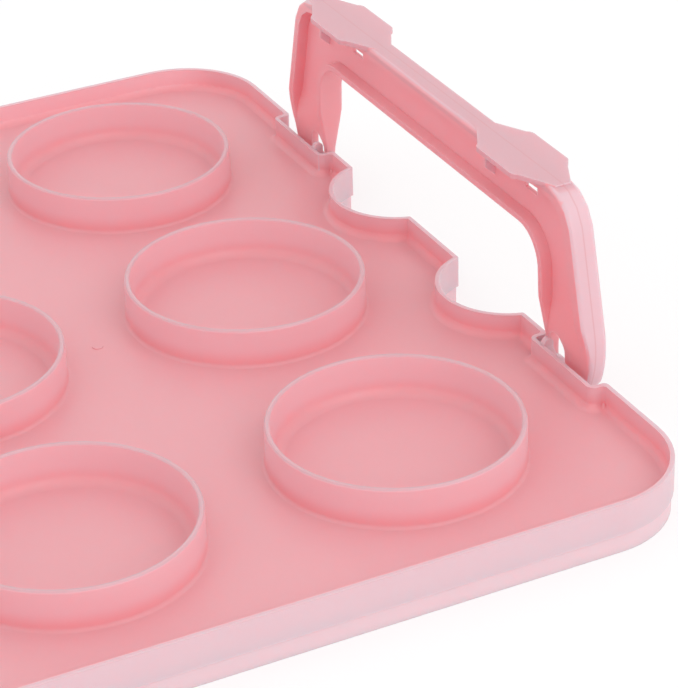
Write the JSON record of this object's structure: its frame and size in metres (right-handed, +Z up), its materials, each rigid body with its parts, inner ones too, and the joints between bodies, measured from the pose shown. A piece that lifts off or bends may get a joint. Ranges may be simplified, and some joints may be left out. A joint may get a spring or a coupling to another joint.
{
  "type": "cupcake carrier",
  "caption": "Shallow pink tray with raised rings that hold cupcakes in rows, scalloped ends and a fold-out carry handle at each end.",
  "frame": {"origin": "middle of the base, on the plane that the skirt's lower edge stands on", "axes": "+X along the tray towards the right handle, +Y across the tray, +Z up"},
  "size_m": [0.3664, 0.2626, 0.0561],
  "materials": {
    "tray_plastic": "satin, slightly translucent pink polypropylene",
    "handle_plastic": "satin, slightly translucent pink polypropylene"
  },
  "bodies": {
    "tray_body": {"tray": "tray_plastic"},
    "right_handle_body": {"right_handle": "handle_plastic"},
    "left_handle_body": {"left_handle": "handle_plastic"}
  },
  "joints": [
    {"name": "right_handle_fold", "type": "hinge", "parent": "tray_body", "child": "right_handle_body", "pos_m": [0.17535, 0, 0.0068], "axis": [0, 1, 0], "range_deg": [0, 88]},
    {"name": "left_handle_fold", "type": "hinge", "parent": "tray_body", "child": "left_handle_body", "pos_m": [-0.17535, 0, 0.0068], "axis": [0, -1, 0], "range_deg": [0, 88]}
  ]
}
